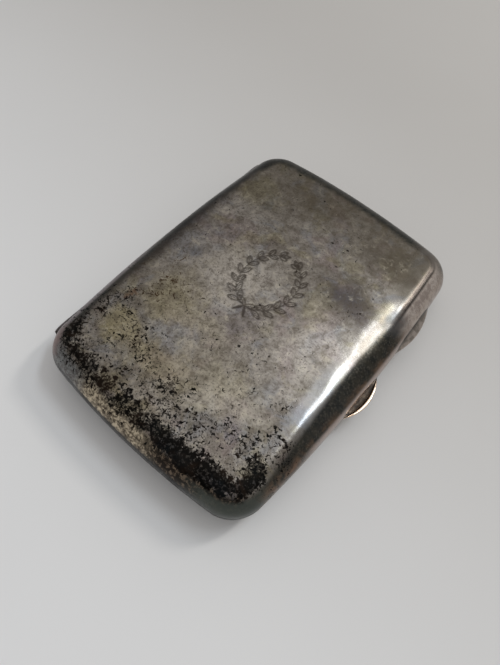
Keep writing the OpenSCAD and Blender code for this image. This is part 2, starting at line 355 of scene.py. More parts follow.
def wreath_distance(x, y):
    """Distance from the nearest engraved line."""
    x = np.abs(x - WREATH_CENTRE[0])
    y = y - WREATH_CENTRE[1]
    first, last = math.radians(-84), math.radians(66)

    def stem(t):
        return WREATH_HALF_WIDTH * math.cos(t), WREATH_HALF_HEIGHT * math.sin(t)

    def heading(t):
        return math.atan2(WREATH_HALF_HEIGHT * math.cos(t), -WREATH_HALF_WIDTH * math.sin(t))

    leaves = []
    for k, t in enumerate(np.linspace(first + 0.16, last - 0.02, LEAF_PAIRS)):
        for lean in (-LEAF_LEAN, LEAF_LEAN):
            leaves.append((stem(t), heading(t) + lean, LEAF_LENGTH * (1 - 0.04 * k), LEAF_HALF_WIDTH))
    # The leaf at the tip of the stem, and the bow and the tails of the knot
    knot = (0.0, -WREATH_HALF_HEIGHT)
    leaves.append((stem(last), heading(last), 2.4, 0.42))
    leaves.append((knot, math.radians(24), 3.0, 0.62))
    leaves.append((knot, math.radians(-58), 2.9, 0.20))

    nearest = np.full(x.shape, np.inf)
    for sx, sy in map(stem, np.linspace(first, last, 120)):
        nearest = np.minimum(nearest, np.hypot(x - sx, y - sy) + 0.03)
    for leaf in leaves:
        nearest = np.minimum(nearest, leaf_distance(x, y, *leaf))
    return nearest


def engraving(x, y):
    """1 in the middle of an engraved line, and 0 away from the lines."""
    return 1 - smoothstep(wreath_distance(x, y), ENGRAVED_LINE - 0.05, ENGRAVED_LINE + 0.12)


def cover_rows(full):
    """Skin and distance from the rim of each row: down the inside, round the lip, up the outside."""
    inner = [(SHEET, share * full) for share in np.linspace(1, 0, 10)[:-1]]
    lip = [(SHEET, LIP), (SHEET - 0.3 * LIP, 0.3 * LIP), (SHEET - LIP, 0),
           (LIP, 0), (0.3 * LIP, 0.3 * LIP), (0, LIP)]
    outer = [(0, share * full) for share in np.linspace(0, 1, 24)[1:]]
    return inner, lip, outer


def fill_ring(points, ring, wide, deep):
    """Coons patch in a ring of columns: the plan of its inner points, and quads between all points."""
    low, right = ring[:wide + 1], ring[wide:wide + deep + 1]
    high = ring[wide + deep:2 * wide + deep + 1][::-1]
    left = np.append(ring[2 * wide + deep:], ring[0])[::-1]
    c0, c1, d0, d1 = (points[side, :2] for side in (low, high, left, right))
    u = ((c0[:, 0] - c0[0, 0]) / (c0[-1, 0] - c0[0, 0]))[:, None, None]
    v = ((d0[:, 1] - d0[0, 1]) / (d0[-1, 1] - d0[0, 1]))[None, :, None]
    surface = ((1 - v) * c0[:, None] + v * c1[:, None] + (1 - u) * d0[None] + u * d1[None]
               - (1 - u) * (1 - v) * c0[0] - u * (1 - v) * c0[-1]
               - (1 - u) * v * c1[0] - u * v * c1[-1])
    inside = surface[1:-1, 1:-1].reshape(-1, 2)
    number = np.empty((wide + 1, deep + 1), int)
    number[:, 0], number[:, -1] = low, high
    number[0, :], number[-1, :] = left, right
    number[1:-1, 1:-1] = len(points) + np.arange(len(inside)).reshape(wide - 1, deep - 1)
    corners = (number[:-1, :-1], number[1:, :-1], number[1:, 1:], number[:-1, 1:])
    return inside, np.column_stack([corner.ravel() for corner in corners])


def make_cover(name, half, section, stations, silver, gilt, ornament):
    """One pressed half: outer and inner skin, with the cut for the hinge along one side."""
    across, along = stations
    columns = plan_columns(across, along)
    n = len(columns)
    top = section["wall"] + section["edge"]
    inner, lip, outer = cover_rows(section["wall"] + section["edge"] * math.pi / 2)
    rows = inner + lip + outer

    outline = column_points(columns, 0)
    hinge_side = (np.abs(outline[:, 1]) < HINGE_HALF + 0.02) & (outline[:, 0] < 0)
    points, insets = [], []
    for skin, distance in rows:
        above = NOTCH + distance * (NOTCH_FADE - NOTCH) / NOTCH_FADE
        along_wall = np.where(hinge_side & (distance < NOTCH_FADE), above, distance)
        inset, height = section_point(skin, along_wall, section)
        plan = column_points(columns, inset)
        clamped = soft_max(plan[:, 0], HINGE_FACE + skin, 0.05)
        plan[:, 0] = np.where(hinge_side, clamped, plan[:, 0])
        rise = crown_rise(plan[:, 0], plan[:, 1], height, section)
        points.append(np.column_stack([plan, height + rise]))
        insets.append(inset)
    points = np.vstack(points)
    insets = np.concatenate(insets)
    faces = ring_faces(len(rows), n)
    gilt_rows = len(inner) + 2
    # 0 for a silver face and 1 for a gilt one
    kinds = [int(r < gilt_rows) for r in range(len(rows) - 1) for _ in range(n)]

    # The flat of the outer and of the inner skin, each inside its last ring
    deep = len(along) - 1 + 2 * CORNER_STEPS + 2
    wide = n // 2 - deep
    for first, skin in (((len(rows) - 1) * n, 0), (0, SHEET)):
        inside, quads = fill_ring(points, first + np.arange(n), wide, deep)
        x, y = inside.T
        height = top - skin + crown_rise(x, y, top, section)
        points = np.vstack([points, np.column_stack([inside, height])])
        long_gap = CASE_WIDTH / 2 - np.abs(x) - y ** 2 / (2 * LONG_SIDE_RADIUS)
        short_gap = CASE_LENGTH / 2 - np.abs(y) - x ** 2 / (2 * SHORT_SIDE_RADIUS)
        insets = np.append(insets, np.maximum(np.minimum(long_gap, short_gap), section["edge"]))
        faces += map(tuple, (quads[:, ::-1] if skin else quads).tolist())
        kinds += [int(skin > 0)] * len(quads)

    x, y, height = points.T
    waves = (waviness(x, y) - WAVE_HEADROOM) * smoothstep(height, 1.0, top)
    points[:, 2] += waves * (1 if ornament else 0.5)
    lines = np.zeros(len(points))
    if ornament:
        lines = np.where(points[:, 2] > top - 0.05, engraving(points[:, 0], points[:, 1]), 0)
        points[:, 2] -= ENGRAVED_DEPTH * lines
    make_piece(name, points, faces, [silver, gilt], half=half, slot="silver_" + half,
               replaces=[half + "_shell"], face_materials=kinds,
               values={"inset": insets, "engraved": lines})


# Sweeps along the outline
def make_sweep(name, columns, sections, material, **placing):
    """A closed section for each column, given as insets and heights, with flat ends."""
    rows = []
    for column, section in zip(columns, sections):
        plan = np.array([column_points(column[None], inset)[0] for inset, _ in section])
        rows.append(np.column_stack([plan, [height for _, height in section]]))
    make_swept(name, rows, material, **placing)


def rounded_box(inset_from, inset_to, low, high, rounding):
    """Section with rounded corners, each with its own radius, from (inset_from, low) round."""
    corners = [(inset_from, low, 1, 1), (inset_to, low, -1, 1),
               (inset_to, high, -1, -1), (inset_from, high, 1, -1)]
    starts = [math.pi, 1.5 * math.pi, 0, 0.5 * math.pi]
    section = []
    for (inset, height, sx, sy), start, r in zip(corners, starts, rounding):
        for k in range(5):
            angle = start + k * math.pi / 8
            section.append((inset + sx * r + r * math.cos(angle), height + sy * r + r * math.sin(angle)))
    return section


def make_rim(name, half, inner, gilt):
    """Strengthening wire inside a rim, from one end of the hinge round to the other."""
    across = np.linspace(-SHORT_REACH, SHORT_REACH, 57)
    along = np.linspace(-LONG_REACH, LONG_REACH, 81)
    columns = plan_columns(across, along)
    outline = column_points(columns, 0)
    kept = ~((np.abs(outline[:, 1]) < HINGE_HALF + 0.3) & (outline[:, 0] < 0))
    start = np.where(kept & ~np.roll(kept, 1))[0][0]
    columns = np.roll(columns, -start, axis=0)[np.roll(kept, -start)]
    ends = [[-CORNER[0], side * CORNER[1], CORNER_RADIUS, math.pi - side * (HINGE_END + 0.0025)]
            for side in (-1, 1)]
    columns = np.vstack([ends[0], columns, ends[1]])
    section = rounded_box(SHEET - 0.02, inner, 0.01, RIM_HEIGHT, (0.08, 0.14, 0.38, 0.1))
    make_sweep(name, columns, [section] * len(columns), gilt, half=half, slot="gilt",
               replaces=[half + "_rim"])


BEZEL_HALF = 25.0
BEZEL_INSET = 1.6
BEZEL_THICKNESS = 0.5
BEZEL_TOP = -1.3
BEZEL_FOOT = 1.2
BEZEL_END_RADIUS = 1.2
PIP_RADIUS = 0.384
PIP_HEIGHT = 0.18
PIP_SUNK = 0.02
PIP_RISE = 0.7
PIP_PLACES = (-6.75, 23.25)


def make_bezel(gilt):
    """Strip that stands up inside the lid's rim, with rounded ends."""
    straight = BEZEL_HALF - BEZEL_END_RADIUS
    end = straight + BEZEL_END_RADIUS * np.cos(np.linspace(0, math.pi / 2, 10))
    ys = np.concatenate([-end, np.linspace(-straight, straight, 60)[1:-1], end[::-1]])
    columns, sections = [], []
    for y in ys:
        angle = math.asin(y / LONG_SIDE_RADIUS)
        columns.append([CASE_WIDTH / 2 - LONG_SIDE_RADIUS, 0, LONG_SIDE_RADIUS, angle])
        past = max(abs(y) - straight, 0)
        drop = BEZEL_END_RADIUS - math.sqrt(max(BEZEL_END_RADIUS ** 2 - past ** 2, 0))
        sections.append(rounded_box(BEZEL_INSET, BEZEL_INSET + BEZEL_THICKNESS,
                                    BEZEL_TOP + drop, BEZEL_FOOT, (0.2, 0.2, 0.05, 0.05)))
    make_sweep("bezel", np.array(columns), sections, gilt, half="base", slot="gilt",
               replaces=["bezel_strip"])


def make_pips(gilt):
    """The two domes on the strip that click past the lid's rim."""
    rings, steps = 7, 24
    points, faces = [], []
    for y in PIP_PLACES:
        x = float(catch_side_x(BEZEL_INSET, y))
        dome = [face[::-1] for face in ring_faces(rings, steps)]
        dome.append(tuple(range((rings - 1) * steps, rings * steps))[::-1])
        dome += [(rings * steps, j, (j + 1) % steps) for j in range(steps)]
        faces += [tuple(len(points) + i for i in face) for face in dome]
        for tilt in np.linspace(0, math.pi / 2, rings + 1)[1:]:
            for turn in np.linspace(0, 2 * math.pi, steps, endpoint=False):
                points.append((x - PIP_SUNK + (PIP_HEIGHT + PIP_SUNK) * math.cos(tilt),
                               y + PIP_RADIUS * math.sin(tilt) * math.cos(turn),
                               -PIP_RISE + PIP_RADIUS * math.sin(tilt) * math.sin(turn)))
        points.append((x + PIP_HEIGHT, y, -PIP_RISE))
    make_piece("pips", points, faces, [gilt], half="base", slot="gilt", replaces=["catch_pips"])


# Hinge
def lathe(profile, steps=56):
    """Points and faces of a closed profile of distances along the hinge and radii, turned round it."""
    points = []
    for y, radius in profile:
        for k in range(steps):
            angle = 2 * math.pi * k / steps
            points.append((HINGE_X + radius * math.cos(angle), y, SEAM + radius * math.sin(angle)))
    return points, ring_faces(len(profile), steps, closed_rows=True)


def make_knuckle(i, silver):
    body = "lid" if i % 2 else "base"
    node = f"{body}_knuckle_{i // 2 + 1}"
    start = i * KNUCKLE_PITCH - HINGE_HALF + END_PLAY / 2
    end = start + KNUCKLE_PITCH - END_PLAY
    bore = PIN_RADIUS + RUNNING * (i % 2)

    def finish_end(y, inward, outermost):
        """Profile from the bore out to the full radius at one end of the knuckle."""
        length, loss = (END_TAPER, BARREL_RADIUS - END_RADIUS) if outermost else (0.09, 0.09)
        steps = np.linspace(0, math.pi / 2, 9)
        curve = [(y + inward * length * (1 - math.cos(a)), BARREL_RADIUS - loss * (1 - math.sin(a)))
                 for a in steps]
        return [(y + inward * 0.03, bore), (y, bore + 0.03)] + curve

    near = finish_end(start, 1, i == 0)
    far = finish_end(end, -1, i == KNUCKLES - 1)
    middle = [(start + (end - start) * share, BARREL_RADIUS) for share in (0.45, 0.55)]
    points, faces = lathe(near + middle + far[::-1])
    make_piece(f"knuckle_{i + 1}", points, faces, [silver], body=body, slot="silver_hinge",
               replaces=[node], sharp=50)


def make_plug(end, silver):
    """Plug with a low dome that hides an end of the pin."""
    outside = HINGE_HALF - END_PLAY / 2
    depth, dome, dome_radius = 1.5, 0.125, 0.375
    profile = [(outside - depth, 0.001), (outside - depth, PIN_RADIUS - 0.05),
               (outside - depth + 0.05, PIN_RADIUS), (outside - 0.06, PIN_RADIUS),
               (outside, PIN_RADIUS - 0.06), (outside, dome_radius)]
    for k in range(1, 7):
        share = k / 6
        radius = max(dome_radius * (1 - share ** 1.6), 0.001)
        profile.append((outside + dome * (1 - (1 - share) ** 2), radius))
    sign = 1 if end == "far" else -1
    points, faces = lathe([(sign * y, radius) for y, radius in profile])
    if sign > 0:
        faces = [tuple(reversed(face)) for face in faces]
    make_piece(f"plug_{end}", points, faces, [silver], body="base", slot="silver_hinge",
               replaces=[f"hinge_plug_{end}"])


def make_hinge_bar(half, own, silver):
    """Bar that the knuckles are seated in, with a half-round groove that steps at each knuckle."""
    offset = SEAM - BASE_RIM
    rows = []
    for i in range(KNUCKLES):
        radius = BARREL_RADIUS if i % 2 == own else BARREL_RADIUS + TURNING
        start = i * KNUCKLE_PITCH - HINGE_HALF + (STEP_GAP if i else 0)
        end = (i + 1) * KNUCKLE_PITCH - HINGE_HALF - STEP_GAP
        low = math.asin(offset / radius)
        high = math.acos((HINGE_FACE - HINGE_X) / radius)
        groove = [(HINGE_X + radius * math.cos(a), radius * math.sin(a) - offset)
                  for a in np.linspace(high, low, 20)]
        section = groove + [(BAR_INNER - 0.08, 0), (BAR_INNER, 0.08), (BAR_INNER, BAR_HEIGHT - 0.2),
                            (BAR_INNER - 0.06, BAR_HEIGHT - 0.06), (BAR_INNER - 0.2, BAR_HEIGHT),
                            (HINGE_FACE + SHEET, BAR_HEIGHT), (HINGE_FACE + SHEET, NOTCH),
                            (HINGE_FACE + 0.03, NOTCH)]
        rows += [[(x, y, height) for x, height in section] for y in (start, end)]
    make_swept(f"{half}_hinge_bar", rows, silver, half=half, slot="silver_hinge",
               replaces=[f"{half}_hinge_bearer"], sharp=25)


# Thumb pieces: each section is given as shares of the reach and of the rise, from the wall outwards
THUMB_RUN_OUT = 1.7
THUMB_LOW_RISE = 0.9
THUMB_SOFTNESS = 0.22
THUMB_SUNK = 0.12
THUMB_DEEPEST = 1.2
THUMBS = {
    "lid": {"place": 19.0, "length": 12.0, "reach": 1.0, "rise": 2.3,
            "section": [(0.0, 1.0), (0.07, 0.80), (0.26, 0.60), (0.55, 0.46), (0.82, 0.33),
                        (0.96, 0.20), (1.0, 0.09), (0.975, 0.0)],
            "face": [(0.7, 0.0), (0.3, 0.0)]},
    "base": {"place": -1.5, "length": 12.5, "reach": 2.2, "rise": 2.2,
             "section": [(0.0, 1.0), (0.08, 0.82), (0.30, 0.62), (0.62, 0.46), (0.90, 0.31),
                         (0.985, 0.21), (1.0, 0.12), (0.96, 0.03), (0.88, 0.0)],
             "face": [(0.72, 0.02), (0.64, 0.10), (0.54, 0.15), (0.40, 0.18), (0.2, 0.16)]},
}


def make_thumb_piece(half, section, material):
    """Half-round lip that flows out of the wall beside the seam."""
    size = THUMBS[half]
    radius = ((size["length"] / 2) ** 2 + size["reach"] ** 2) / (2 * size["reach"])
    centre = CASE_WIDTH / 2 + size["reach"] - radius
    half_length = size["length"] / 2 + THUMB_RUN_OUT
    section_shares = np.vstack([curve_through(size["section"], 26), size["face"]])
    ys = size["place"] + half_length * np.sin(np.linspace(-math.pi / 2, math.pi / 2, 73))
    rows = []
    for y in ys:
        disc = centre + math.sqrt(max(radius ** 2 - (y - size["place"]) ** 2, 0))
        reach = disc - float(catch_side_x(0, y))
        reach = float(soft_max(reach, 0, THUMB_SOFTNESS)) - THUMB_SUNK
        fullness = math.sqrt(min(max(reach, 0) / size["reach"], 1))
        rise = THUMB_LOW_RISE + (size["rise"] - THUMB_LOW_RISE) * fullness
        row = []
        for share, level in section_shares:
            height = level * rise
            inset, _ = section_point(0, height, section)
            inset = min(float(inset), THUMB_DEEPEST)
            row.append((float(catch_side_x(inset, y)) + share * reach, y, height))
        # Three points inside the wall close the section
        for inset, height in ((0.35, row[-1][2] + 0.03), (0.55, rise * 0.5), (0.75, rise)):
            row.append((float(catch_side_x(inset, y)), y, height))
        rows.append(row)
    shares = np.tile(np.append(section_shares[:, 0], (0, 0, 0)), len(rows))
    levels = np.tile(np.append(section_shares[:, 1], (0, 0, 1)), len(rows))
    make_swept(f"{half}_thumb", rows, material, flip=True, half=half,
               slot="silver_lid" if half == "lid" else "coppery_silver",
               replaces=[f"{half}_thumb_piece"], values={"reach": shares, "level": levels})


# Wire staples
def tube(path, radii, sides=20):
    """Closed tube along a path, with a radius at each point."""
    path = np.array(path, float)
    ahead = np.gradient(path, axis=0)
    ahead /= np.linalg.norm(ahead, axis=1)[:, None]
    side = np.cross(ahead[0], (0.13, 0.31, 0.94))
    side /= np.linalg.norm(side)
    points = []
    for p, d, radius in zip(path, ahead, radii):
        side = side - d * side.dot(d)
        side /= np.linalg.norm(side)
        up = np.cross(d, side)
        for k in range(sides):
            angle = 2 * math.pi * k / sides
            points.append(p + radius * (math.cos(angle) * side + math.sin(angle) * up))
    return points, swept_faces(len(path), sides)


def make_staple(half, side, gilt):
    """Bent wire whose two legs are soldered to the wall."""
    x = STAPLE_X[side]
    wall_x = STAPLE_FOOT_X[side]
    bend_start = x + math.copysign(STAPLE_BEND, wall_x - x)
    half_length = BAND_WIDTH / 2 + WIRE_RADIUS
    path, radii = [], []
    for end in (-1, 1):
        leg = []
        for share in np.linspace(0, 1, 9)[:-1]:
            leg.append((wall_x + (bend_start - wall_x) * share, end * half_length, STAPLE_DROP))
        for k in range(9):
            angle = k * math.pi / 16
            leg.append((x + (bend_start - x) * (1 - math.sin(angle)),
                        end * (half_length - STAPLE_BEND * (1 - math.cos(angle))), STAPLE_DROP))
        foot = [WIRE_RADIUS + 0.28 * math.exp(-abs(p[0] - wall_x) / 0.35) for p in leg]
        if end == 1:
            leg.reverse()
            foot.reverse()
        path += leg
        radii += foot
    points, faces = tube(path, radii)
    make_piece(f"{half}_{side}_wire", points, faces, [gilt], half=half, slot="gilt",
               replaces=[f"{half}_{side}_staple"])


# Elastic bands, and the rows of stitches through their tails
RIBS = 13
WEB_HALF_THICKNESS = 0.235
RIB_RELIEF = 0.055
STITCH_ROWS = (2.6, 4.2, 5.2)
STITCHES = 9
STITCH_PITCH = 0.74
STITCH_RADIUS = 0.10


def band_path():
    """X and height of the middle of the band, from the end of one tail to the end of the other."""
    loop = WIRE_RADIUS + 0.05 + BAND_THICKNESS / 2
    left, right = STAPLE_X["hinge"], STAPLE_X["catch"]
    tail_level = BAND_DROP + 1.5 * BAND_THICKNESS
    tail_rise = STAPLE_DROP + loop - tail_level
    tail = [(BAND_TAIL * (1 - k / 9), tail_level + tail_rise * (k / 9) ** 1.3) for k in range(9)]

    def half_turn(x, start):
        return [(x + loop * math.cos(angle), STAPLE_DROP + loop * math.sin(angle))
                for angle in np.linspace(start, start + math.pi, 15)]

    path = [(left + run, height) for run, height in tail]
    path += half_turn(left, math.pi / 2)
    path += [(x, BAND_DROP + BAND_THICKNESS / 2) for x in np.linspace(left, right, 96)[1:-1]]
    path += half_turn(right, -math.pi / 2)
    path += [(right - run, height) for run, height in reversed(tail)]
    return np.array(path)


def make_band(half, elastic):
    """Ribbed elastic, looped round both staples with its ends sewn back."""
    path = band_path()
    ahead = np.gradient(path, axis=0)
    ahead /= np.linalg.norm(ahead, axis=1)[:, None]
    normal = np.column_stack([-ahead[:, 1], ahead[:, 0]])
    per_rib = 4
    shares = np.linspace(-1, 1, RIBS * per_rib + 1)
    rib = np.abs(np.cos(math.pi * RIBS * (shares + 1) / 2 + math.pi / 2))
    edge = np.sqrt(np.clip(1 - ((np.abs(shares) - 0.955) / 0.045).clip(0) ** 2, 0, 1))
    thick = (WEB_HALF_THICKNESS + RIB_RELIEF * rib) * np.maximum(edge, 0.05)
    rows = []
    for k, (p, n) in enumerate(zip(path, normal)):
        weave = 1 + 0.035 * math.cos(math.pi * k)
        section = [(s, t * weave) for s, t in zip(shares, thick)]
        section += [(s, -t) for s, t in reversed(section)]
        rows.append([(p[0] + n[0] * t, s * BAND_WIDTH / 2, p[1] + n[1] * t) for s, t in section])
    make_swept(f"{half}_elastic", rows, elastic, flip=True, half=half, slot="elastic",
               replaces=[f"{half}_band"], sharp=60)


def make_stitches(half, thread):
    """Rows of thread across the sewn ends of a band."""
    points, faces = [], []
    for side, sign in (("hinge", 1), ("catch", -1)):
        for row, along in enumerate(STITCH_ROWS):
            for k in range(STITCHES):
                x = STAPLE_X[side] + sign * along
                y = (k - STITCHES // 2) * STITCH_PITCH
                lean = 0.18 if (k + row) % 2 else -0.18
                shares = np.linspace(-1, 1, 7)
                path = [(x + lean * s, y + 0.30 * s, BAND_DROP + 0.06 + 0.07 * s * s) for s in shares]
                radii = [STITCH_RADIUS * math.sqrt(max(1 - s * s, 0.02)) for s in shares]
                more_points, more_faces = tube(path, radii, 8)
                faces += [tuple(i + len(points) for i in face) for face in more_faces]
                points += more_points
    make_piece(f"{half}_stitches", points, faces, [thread], half=half, slot="elastic")


# Materials
def tone(red, green, blue):
    """A colour given as it looks, from 0 to 255, as Blender's linear colour."""
    return tuple((c / 255 / 12.92 if c < 10.3 else ((c / 255 + 0.055) / 1.055) ** 2.4)
                 for c in (red, green, blue)) + (1.0,)


class Nodes:
    """A node tree whose nodes are added by short calls."""

    def __init__(self, tree):
        self.tree = tree

    def feed(self, socket, value):
        if isinstance(value, bpy.types.NodeSocket):
            self.tree.links.new(value, socket)
        else:
            socket.default_value = value

    def node(self, kind, inputs, output=0, **settings):
        """Add a node with its settings, feed its inputs and return one of its outputs."""
        node = self.tree.nodes.new("ShaderNode" + kind)
        for name, value in settings.items():
            setattr(node, name, value)
        for key, value in inputs.items():
            self.feed(node.inputs[key], value)
        return node.outputs[output]


class Finish(Nodes):
    """A material. Its patterns are in millimetres, and its masks run from 0 to 1.

    A plain colour is a tuple of three levels as it looks, from 0 to 255.
    """

    def __init__(self, name):
        self.material = bpy.data.materials.new(name)
        self.material.use_nodes = True
        super().__init__(self.material.node_tree)
        place_in_piece = self.node("TexCoord", {}, "Object")
        self.point = self.node("VectorMath", {0: place_in_piece, "Scale": 1 / MM}, operation="SCALE")
        self.x, self.y, self.z = self.node("SeparateXYZ", {0: self.point}).node.outputs
        self.colour = None

    def math(self, operation, *values):
        return self.node("Math", dict(enumerate(values)), operation=operation)

    def times(self, first, *more):
        for value in more:
            first = self.math("MULTIPLY", first, value)
        return first

    def plus(self, first, *more):
        for value in more:
            first = self.math("ADD", first, value)
        return first

    def less(self, first, second):
        return self.math("SUBTRACT", first, second)

    def ramp(self, value, low, high, out_low=0.0, out_high=1.0):
        """Smooth step from low to high, which may be the other way round."""
        inputs = dict(enumerate((value, low, high, out_low, out_high)))
        return self.node("MapRange", inputs, interpolation_type="SMOOTHSTEP")

    def spot(self, cx, cy, radius_x, radius_y, soft, where):
        """1 in the middle of an oval patch of the plan, falling to 0 at its edge."""
        dx = self.math("DIVIDE", self.less(where[0], cx), radius_x)
        dy = self.math("DIVIDE", self.less(where[1], cy), radius_y)
        distance = self.math("SQRT", self.plus(self.times(dx, dx), self.times(dy, dy)))
        return self.ramp(distance, 1.0, 1.0 - soft)

    def noise(self, per_mm, seed, detail=3.0, roughness=0.55, distortion=0.0, stretch=(1, 1, 1)):
        stretched = self.node("VectorMath", {0: self.point, 1: stretch}, operation="MULTIPLY")
        shift = (seed * 37.0, seed * -19.0, seed * 11.0)
        shifted = self.node("VectorMath", {0: stretched, 1: shift}, operation="ADD")
        return self.node("TexNoise", {"Vector": shifted, "Scale": per_mm, "Detail": detail,
                                      "Roughness": roughness, "Distortion": distortion})

    def sway(self, noise, size):
        """A noise as a length that strays up to half the size to either side of 0."""
        return self.times(self.less(noise, 0.5), size)

    def attribute(self, name):
        return self.node("Attribute", {}, "Fac", attribute_name=name)

    def mix(self, share, first, second):
        """Colour between two others, each a socket or a plain colour."""
        first, second = (tone(*c) if isinstance(c, tuple) else c for c in (first, second))
        return self.node("Mix", {0: share, 6: first, 7: second}, 2, data_type="RGBA")

    def paint(self, tint, share, *masks):
        """Lay a tint over the colour so far, by this share where all the masks are 1."""
        self.colour = self.mix(self.times(*masks, share), self.colour, tint)

    def bump(self, height, distance_mm, below=None):
        inputs = {"Height": height, "Distance": distance_mm * MM, "Strength": 1.0}
        if below is not None:
            inputs["Normal"] = below
        return self.node("Bump", inputs)

    def done(self, roughness, **others):
        """The material, with the colour that has been laid and other inputs of its surface."""
        surface = self.tree.nodes["Principled BSDF"]
        self.feed(surface.inputs["Base Color"], self.colour)
        self.feed(surface.inputs["Roughness"], roughness)
        for name, value in others.items():
            self.feed(surface.inputs[name.replace("_", " ")], value)
        return self.material


# Stains of the lid, and patches of painted reflection: paler ones in the middle, darker ones at the far
# end. Place, size, colour and share
STAINS_AND_SHEEN = [
    (-8.0, 1.0, 17.0, 11.0, (178, 170, 160), 0.70),
    (-7.0, -14.0, 15.0, 8.0, (172, 162, 142), 0.50),
    (15.0, -3.0, 9.0, 11.0, (174, 165, 156), 0.42),
    (10.0, -23.0, 13.0, 8.0, (180, 172, 156), 0.60),
    (-20.8, -18.7, 1.8, 3.2, (100, 70, 54), 0.75),
    (-18.0, -26.5, 7.0, 6.0, (152, 141, 106), 0.60),
    (-20.0, 24.0, 8.0, 7.0, (118, 110, 80), 0.50),
    (-8.6, -20.5, 6.0, 5.0, (122, 126, 136), 0.60),
    (-22.0, 0.6, 5.0, 8.0, (108, 110, 118), 0.45),
    (15.5, 12.5, 11.0, 9.0, (60, 54, 56), 0.76),
    (20.0, 27.0, 9.0, 9.0, (84, 78, 66), 0.70),
    (-6.0, -36.5, 14.0, 4.0, (118, 107, 82), 0.70),
    (-15.0, -13.0, 12.0, 9.0, (130, 121, 96), 0.60),
    (-7.0, -26.0, 14.0, 9.0, (148, 137, 112), 0.65),
    (14.0, 28.0, 11.0, 8.0, (78, 71, 64), 0.60),
    (-6.0, 30.0, 12.0, 7.0, (92, 82, 66), 0.50),
    (6.0, -20.0, 8.0, 6.0, (132, 124, 100), 0.40),
    (2.0, -8.0, 6.0, 5.0, (112, 104, 108), 0.45),
]
# Places where the black specks lie closer together: place, size and how much closer
SPECK_FIELDS = [
    (1.7, -30.0, 11.0, 6.5, 0.11),
    (-13.0, -25.0, 10.0, 8.0, 0.08),
    (-12.0, -10.0, 7.0, 5.0, 0.08),
    (-19.4, -13.0, 7.0, 7.0, 0.13),
    (-22.0, -23.0, 8.0, 9.0, 0.10),
    (22.0, -23.0, 4.5, 8.0, 0.13),
    (25.5, -27.0, 3.5, 7.0, 0.12),
    (15.0, -29.0, 9.0, 5.0, 0.08),
    (19.0, 6.0, 6.0, 8.0, 0.04),
]


class Silver(Finish):
    """Tarnished silver of one half, with the patterns that its layers share."""

    def __init__(self, name, lid):
        super().__init__(name)
        self.lid = lid
        self.inset = self.attribute("inset")
        self.clouds = self.noise(0.055, 1, 4.0, 0.6, 0.6)
        self.patches = self.noise(0.16, 2, 5.0, 0.62, 0.5)
        self.mottle = self.noise(0.50, 4, 5.0, 0.70, 0.4)
        self.grain = self.noise(1.9, 3, 3.0, 0.65)
        self.warped = [self.plus(place, self.sway(self.noise(0.17, seed, 4.0, 0.65), 16.0))
                       for place, seed in ((self.x, 37), (self.y, 38))]
        self.edge_noise = self.sway(self.noise(0.35, 11, 4.0, 0.65, 0.6), 3.0)
        self.ragged_x = self.plus(self.x, self.edge_noise)
        self.ragged_y = self.plus(self.y, self.edge_noise)
        # How far past the shoulder of the catch side, which slants with the roll-off
        slant = self.times(self.math("MAXIMUM", self.times(self.y, -1.0), 0.0), 0.06)
        self.past = self.less(self.x, self.plus(25.1, slant))
        self.shoulder = self.times(self.ramp(self.past, -5.0, -3.0), self.ramp(self.y, -24.0, -14.0))
        self.rough = self.less(1.0, self.times(self.shoulder, 0.65))


def lay_films(f):
    """Cloudy films and stains over the whole, with painted reflection: paler patches in the middle, a
    pale bluish tint where the window's highlight lies on the catch shoulder, and painted shade towards
    the far end and the hinge side.
    """
    f.colour = f.mix(f.ramp(f.clouds, 0.35, 0.65), (124, 117, 109), (148, 141, 133))
    f.paint((94, 86, 80), 0.50, f.ramp(f.patches, 0.46, 0.66))
    f.paint((120, 123, 130), 0.45, f.ramp(f.noise(0.13, 5, 3.0, 0.6, 0.8), 0.50, 0.66))
    f.paint((128, 112, 112), 0.40, f.ramp(f.noise(0.11, 7, 3.0, 0.6, 0.7), 0.50, 0.68))
    f.paint((128, 119, 90), 0.40, f.ramp(f.noise(0.15, 9, 3.0, 0.6, 0.7), 0.52, 0.68))
    # Stains, and the paler and darker patches of painted reflection on the top
    for x, y, radius_x, radius_y, tint, share in STAINS_AND_SHEEN if f.lid else []:
        f.paint(tint, share, f.spot(x, y, radius_x, radius_y, 0.9, f.warped))
    # Painted highlight: the near half of the catch shoulder is tinted pale and bluish where the window's
    # highlight lies
    f.paint((174, 179, 186), 0.25, f.shoulder, f.ramp(f.y, 3.0, -9.0))
    f.paint((78, 70, 60), 0.58, f.ramp(f.mottle, 0.44, 0.66), f.rough)
    f.paint((176, 167, 150), 0.45, f.ramp(f.mottle, 0.47, 0.30), f.rough)
    f.paint((62, 54, 46), 0.50, f.ramp(f.grain, 0.48, 0.68), f.rough)
    # Painted shade: darker towards the far end, where the top reflects the dim room
    f.paint((78, 70, 56), 0.60, f.ramp(f.plus(f.y, f.sway(f.clouds, 18.0)), 14.0, 40.0))
    # Painted shade: darker along the hinge side, where the edge reflects the dim room
    f.paint((54, 48, 45), 0.82, f.ramp(f.plus(f.x, f.sway(f.patches, 5.0)), -23.0, -26.5))


